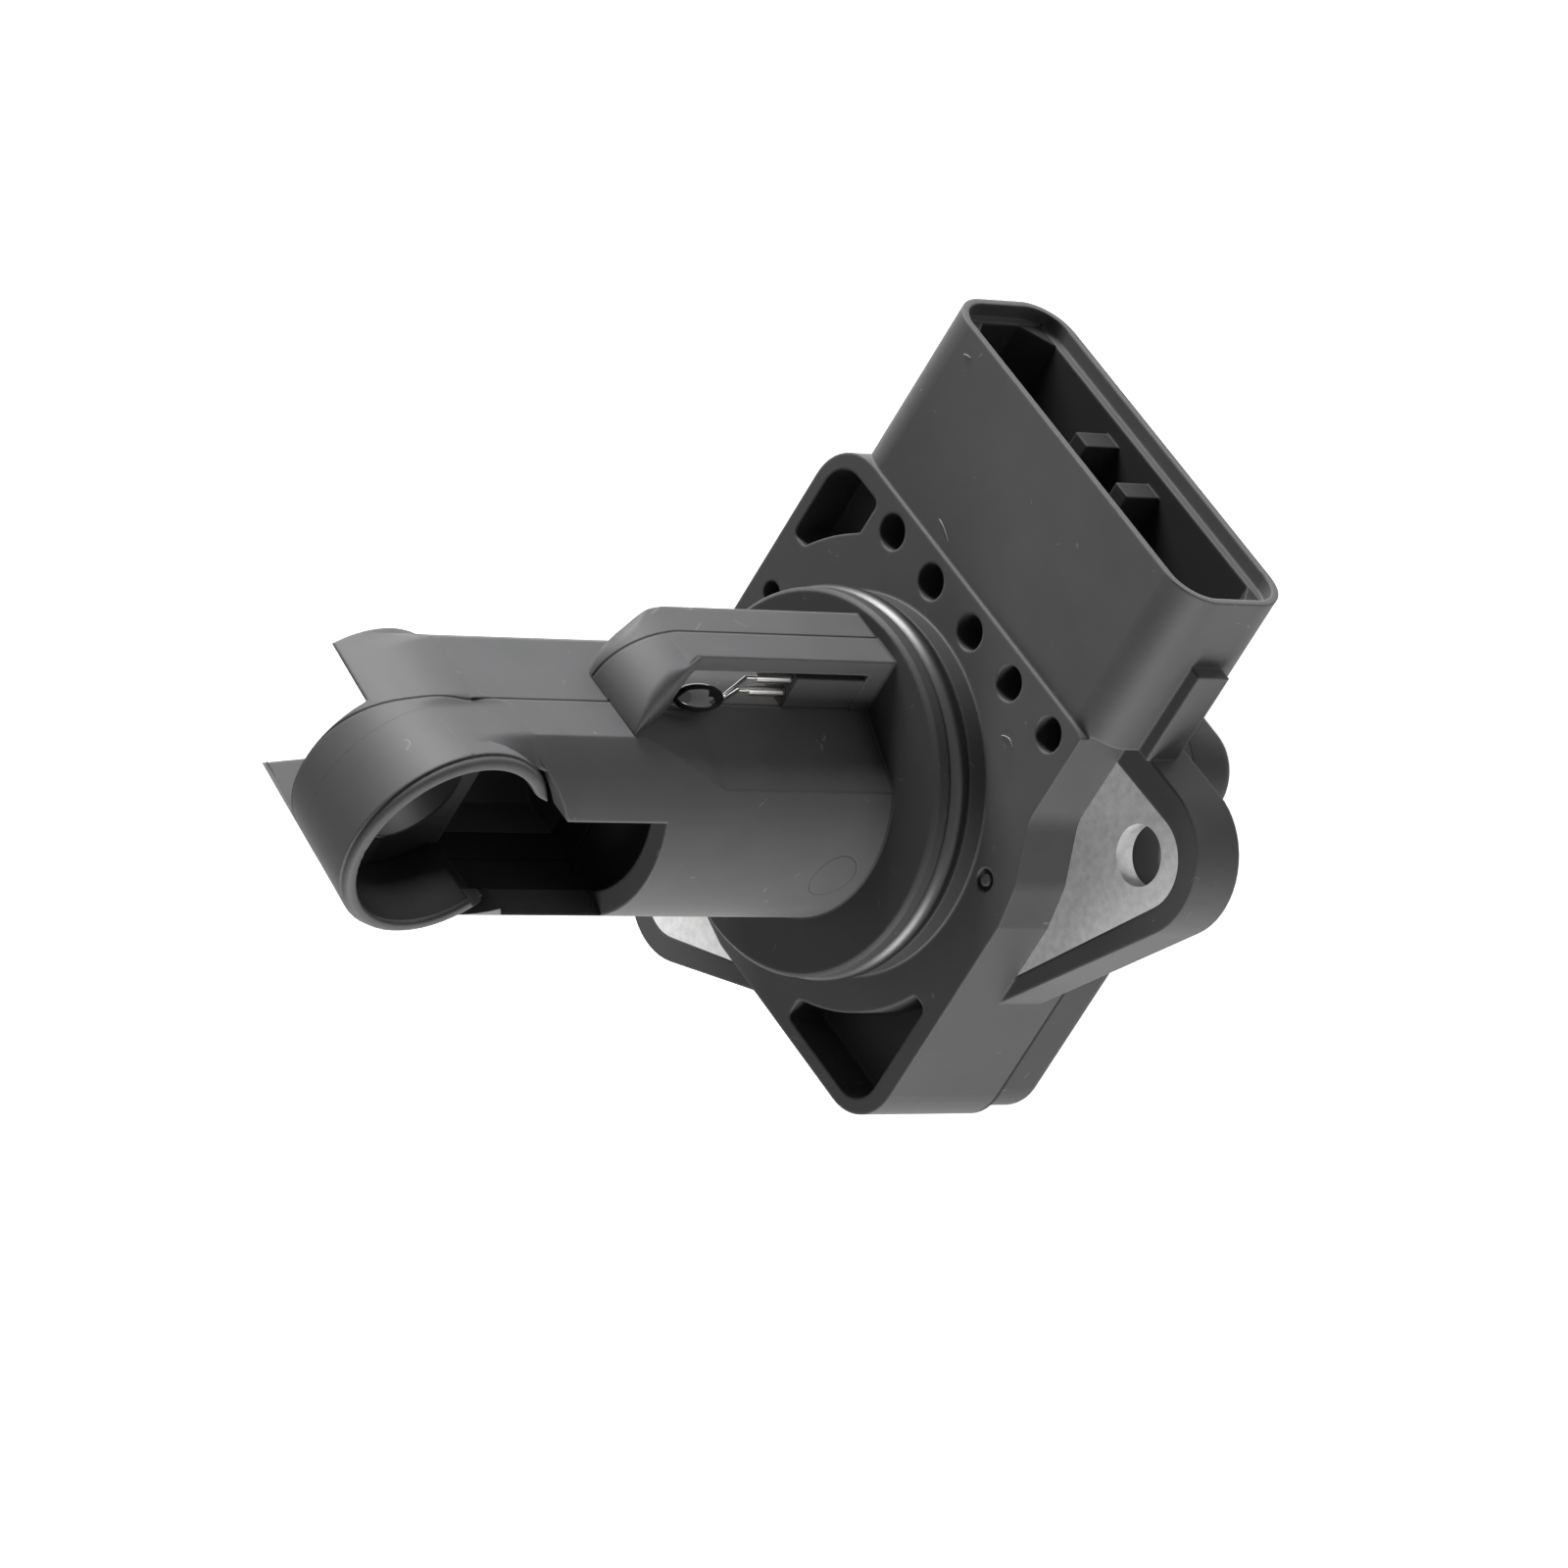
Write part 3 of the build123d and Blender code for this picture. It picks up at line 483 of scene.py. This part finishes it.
def hood_rings():
    """Sections square to z. The top falls as a quarter ellipse, the back side follows it in, the
    front side runs out in a line, and two corners are rounded more and more towards the end."""
    t = np.linspace(0, HOOD_STOP, HOOD_SECTIONS)[:, None]
    z = HOOD_LOW_Z + t * (HOOD_HIGH_Z - HOOD_LOW_Z)
    fall = np.sqrt(1 - t**2)
    top = PROBE_FLAT_A + (HOOD_TOP_A - PROBE_FLAT_A) * fall
    arch = np.clip((z - HOOD_LOW_Z) / (HOOD_BAY_Z - HOOD_LOW_Z), 0, 1)
    low = PROBE_FLAT_A - HOOD_SEAT + (HOOD_BAY_A - PROBE_FLAT_A) * np.sqrt(1 - arch**2)
    back, front = between(HOOD_BACK_B, 1 - fall), between(HOOD_FRONT_B, t)
    grown = HOOD_LEAST_ROUND + HOOD_ROUND * smooth((z - HOOD_ROUND_Z) / HOOD_ROUND_RUN)
    round_r = np.minimum(grown, HOOD_ROUND_LIMIT * (top - low))
    u = np.linspace(0, math.pi / 2, HOOD_CORNER_POINTS)[None]
    rise, run = round_r * np.sin(u), round_r * np.cos(u)
    inner_a, front_b, back_b = top - round_r, front - round_r, back + round_r
    a = np.concatenate([low, inner_a + rise, inner_a + run, low], axis=1)
    b = np.concatenate([front, front_b + run, back_b - rise, back], axis=1)
    return part_places(a, b, z)


swept_solid("barrel_shoulder_1", shoulder_rings(1), housing_plastic)
swept_solid("barrel_shoulder_2", shoulder_rings(-1), housing_plastic, turned=True)
swept_solid("guard_hood", hood_rings(), housing_plastic)

# Back cover: a shallow tray of the same plastic, glued over the circuit with a bead of black
# silicone that shows only as a thin line round the head.
COVER_TONE = (0.052, 0.052, 0.054)
COVER_ROUGHNESS = 0.58
SILICONE_TONE = (0.012, 0.012, 0.012)
FINE_DEPTH = 0.003
cover_plastic = moulded_plastic("cover plastic", COVER_TONE, COVER_ROUGHNESS, on_housing=False)
dress("back_cover", cover_plastic)


def plain_finish(name, colour, roughness, spread, size, metallic=0):
    """A finish whose colour wanders by a share over clouds of a size in millimetres. Its roughness
    wanders by the same share with the fine grain."""
    material, tree, shader = new_finish(name)
    grained = placed(tree, grain, Cloud_size=size)
    mix = blend(tree, grained["Cloud"], *paler_and_darker(colour, spread))
    wander = maths(tree, "MULTIPLY", grained["Fine"], 2 * spread * roughness)
    rough = maths(tree, "ADD", roughness * (1 - spread), wander)
    height = maths(tree, "MULTIPLY", grained["Fine"], FINE_DEPTH)
    bump = wire(tree, "ShaderNodeBump", Strength=1.0, Distance=MM, Height=height)
    tree.links.new(mix, shader.inputs["Base Color"])
    tree.links.new(rough, shader.inputs["Roughness"])
    tree.links.new(bump.outputs["Normal"], shader.inputs["Normal"])
    shader.inputs["Metallic"].default_value = metallic
    return material


silicone = plain_finish("cured silicone", SILICONE_TONE, roughness=0.5, spread=0.2, size=1.5)
dress("cover_adhesive", silicone)

# Mounting plate: stamped steel, zinc plated, moulded in from ear to ear. Its bright face is
# dulled in blotches by handling and by the mould's parting agent, so it shines only in part.
ZINC_TONE = (0.8, 0.8, 0.79)
zinc = plain_finish("zinc plated steel", ZINC_TONE, roughness=0.36, spread=0.3, size=0.6, metallic=0.5)
dress("mounting_plate", zinc)

# Plug seal: a ring of black rubber, pressed in a mould, oiled and shiny. It is stretched over
# the plug and sits squeezed in its groove.
SEAL_TONE = (0.004, 0.004, 0.004)
seal_rubber = plain_finish("seal rubber", SEAL_TONE, roughness=0.4, spread=0.2, size=2.0)
dress("plug_seal", seal_rubber)

# Terminals: five brass blades, stamped from strip and tinned. The housing's plastic is moulded
# round them and holds them.
TIN_TONE = (0.7, 0.68, 0.62)
tinned_brass = plain_finish("tinned brass", TIN_TONE, roughness=0.3, spread=0.15, size=1.0, metallic=1)
for number in range(1, 6):
    dress(f"terminal_{number}", tinned_brass)

# Circuit: a fired ceramic board with its chip and capacitors soldered on, and bond wires welded
# from the board to the terminals' pads. It lies sealed in the head.
BOARD_TONE = (0.75, 0.74, 0.7)
CHIP_TONE = (0.02, 0.02, 0.02)
CAPACITOR_TONE = (0.45, 0.33, 0.2)
WIRE_TONE = (0.75, 0.74, 0.72)
board_ceramic = plain_finish("board ceramic", BOARD_TONE, roughness=0.5, spread=0.06, size=3.0)
dress("circuit_board", board_ceramic)
chip_resin = plain_finish("chip resin", CHIP_TONE, roughness=0.45, spread=0.2, size=1.0)
dress("signal_chip", chip_resin)
capacitor_ceramic = plain_finish("capacitor ceramic", CAPACITOR_TONE, roughness=0.4, spread=0.12, size=0.6)
for number in (1, 2):
    dress(f"board_capacitor_{number}", capacitor_ceramic)
bright_wire = plain_finish("bright wire", WIRE_TONE, roughness=0.18, spread=0.1, size=0.5, metallic=1)
dress("bond_wires", bright_wire)

# Sensing pins and elements: bright wires carry a glazed hot element and a glazed reference
# element inside the probe, and a glass bead on two fine leads under the guard.
GLAZE_TONE = (0.5, 0.5, 0.47)
BEAD_TONE = (0.006, 0.006, 0.006)
for number in (1, 2):
    for name in ("heater_pin", "reference_pin", "temperature_pin", "temperature_lead"):
        dress(f"{name}_{number}", bright_wire)
element_glaze = plain_finish("element glaze", GLAZE_TONE, roughness=0.25, spread=0.1, size=0.5)
dress("heater_element", element_glaze)
dress("reference_element", element_glaze)
bead_glass = plain_finish("bead glass", BEAD_TONE, roughness=0.06, spread=0.1, size=0.5)
dress("temperature_bead", bead_glass)

# Lint: three short hairs of pale fibre, shed by a cloth or a box. They cling to the moulding by
# static, as on any handled part.
LINT_R = 0.024
LINT_TONE = (0.35, 0.35, 0.34)
LINT_SECTIONS = 14
LINT_POINTS = 8
LINT_PLACES = (
    ((20.0, -6.4, -0.2), (19.9, -5.5, -0.1), (19.4, -4.6, -0.2)),
    ((30.4, -12.6, -0.2), (30.6, -12.3, -0.16), (30.7, -11.9, -0.2)),
    ((13.0, 9.3, 0.06), (13.4, 10.1, 0.16), (13.1, 10.7, 0.06)),
)
lint_finish = plain_finish("lint fibre", LINT_TONE, roughness=0.7, spread=0.1, size=0.5)


def lint_rings(ends):
    """A round thread on a parabola through three places: middle weight 2t(1-t), ends the squares."""
    low, middle, high = part_places(*np.array(ends).T)
    t = np.linspace(0, 1, LINT_SECTIONS)[:, None]
    bend = 2 * middle - (low + high) / 2
    path = (1 - t) ** 2 * low + 2 * t * (1 - t) * bend + t**2 * high
    along = np.gradient(path, axis=0)
    along /= np.linalg.norm(along, axis=1, keepdims=True)
    across = np.cross(along, ALONG_PROBE)
    across /= np.linalg.norm(across, axis=1, keepdims=True)
    above = np.cross(along, across)
    u = np.linspace(0, 2 * math.pi, LINT_POINTS, endpoint=False)[None, :, None]
    return path[:, None] + LINT_R * MM * (np.cos(u) * across[:, None] + np.sin(u) * above[:, None])


for number, ends in enumerate(LINT_PLACES, 1):
    swept_solid(f"lint_hair_{number}", lint_rings(ends), lint_finish)

# Studio: a white floor under the sensor, a soft lamp on either side, and the camera at the
# photograph's angle. Eye and gloss see the floor white, and it still takes the object's shadow.
FLOOR_HALF = 3.0
FLOOR_CORNERS = ((-1, -1), (1, -1), (1, 1), (-1, 1))
WHITE = (1, 1, 1, 1)
PAPER_WHITE = (0.85, 0.85, 0.85, 1)
FLOOR_GLOW = 0.85
SEEN_LIGHT = 1.0
ROOM_LIGHT = 0.04
LAMP_AIM = (0, 0, 0.015)
LAMP_SIZE = 0.4
UPPER_LAMP_PLACE = (-0.05, 0.69, 0.10)
UPPER_LAMP_POWER = 17.0
LOWER_LAMP_PLACE = (0.04, -0.67, 0.10)
LOWER_LAMP_POWER = 9.5
CAMERA_PLACE = Vector((0.51211, -0.03431, 0.48251))
CAMERA_AIM = Vector((-0.003442, 0.000069, 0.003711))
CAMERA_UP = Vector((0.05286, 0.99849, 0.01477))
CAMERA_LENS = 221.16
CAMERA_FILM = 36
CAMERA_NEAR = 0.01

floor_z = cad_box[0][2]
floor_mesh = bpy.data.meshes.new("floor")
floor_corners = [(x * FLOOR_HALF, y * FLOOR_HALF, floor_z) for x, y in FLOOR_CORNERS]
floor_mesh.from_pydata(floor_corners, [], [(0, 1, 2, 3)])
floor = bpy.data.objects.new("floor", floor_mesh)
bpy.context.scene.collection.objects.link(floor)


def seen_paths(tree):
    """1 where the eye, a reflection or a view through glass meets this surface, else 0."""
    paths = wire(tree, "ShaderNodeLightPath").outputs
    gloss = maths(tree, "MAXIMUM", paths["Is Glossy Ray"], paths["Is Transmission Ray"])
    return maths(tree, "MAXIMUM", paths["Is Camera Ray"], gloss)


floor_finish = bpy.data.materials.new("white floor")
floor_finish.use_nodes = True
tree = floor_finish.node_tree
tree.nodes.clear()
paper = wire(tree, "ShaderNodeBsdfDiffuse", Color=PAPER_WHITE).outputs[0]
glow = wire(tree, "ShaderNodeEmission", Color=WHITE, Strength=FLOOR_GLOW).outputs[0]
shown = wire(tree, "ShaderNodeAddShader", i0=paper, i1=glow).outputs[0]
either = wire(tree, "ShaderNodeMixShader", i0=seen_paths(tree), i1=paper, i2=shown).outputs[0]
wire(tree, "ShaderNodeOutputMaterial", Surface=either)
floor_mesh.materials.append(floor_finish)

world = bpy.data.worlds.new("studio air")
bpy.context.scene.world = world
world.use_nodes = True
tree = world.node_tree
tree.nodes.clear()
seen = wire(tree, "ShaderNodeBackground", Color=WHITE, Strength=SEEN_LIGHT).outputs[0]
air = wire(tree, "ShaderNodeBackground", Color=WHITE, Strength=ROOM_LIGHT).outputs[0]
sky = wire(tree, "ShaderNodeMixShader", i0=seen_paths(tree), i1=air, i2=seen).outputs[0]
wire(tree, "ShaderNodeOutputWorld", Surface=sky)


def lamp(name, place, power):
    """A square area lamp at a place in metres, turned to the sensor."""
    light = bpy.data.lights.new(name, "AREA")
    light.size = LAMP_SIZE
    light.energy = power
    lamp_object = bpy.data.objects.new(name, light)
    bpy.context.scene.collection.objects.link(lamp_object)
    lamp_object.location = place
    lamp_object.rotation_euler = (Vector(LAMP_AIM) - Vector(place)).to_track_quat("-Z", "Y").to_euler()


lamp("upper side", UPPER_LAMP_PLACE, UPPER_LAMP_POWER)
lamp("lower side", LOWER_LAMP_PLACE, LOWER_LAMP_POWER)

camera = bpy.data.cameras.new("camera")
camera.sensor_width = CAMERA_FILM
camera.lens = CAMERA_LENS
camera.clip_start = CAMERA_NEAR
camera_object = bpy.data.objects.new("camera", camera)
bpy.context.scene.collection.objects.link(camera_object)
back = (CAMERA_PLACE - CAMERA_AIM).normalized()
right = CAMERA_UP.cross(back).normalized()
up = back.cross(right)
turn = Matrix((right, up, back)).transposed().to_4x4()
camera_object.matrix_world = Matrix.Translation(CAMERA_PLACE) @ turn
bpy.context.scene.camera = camera_object
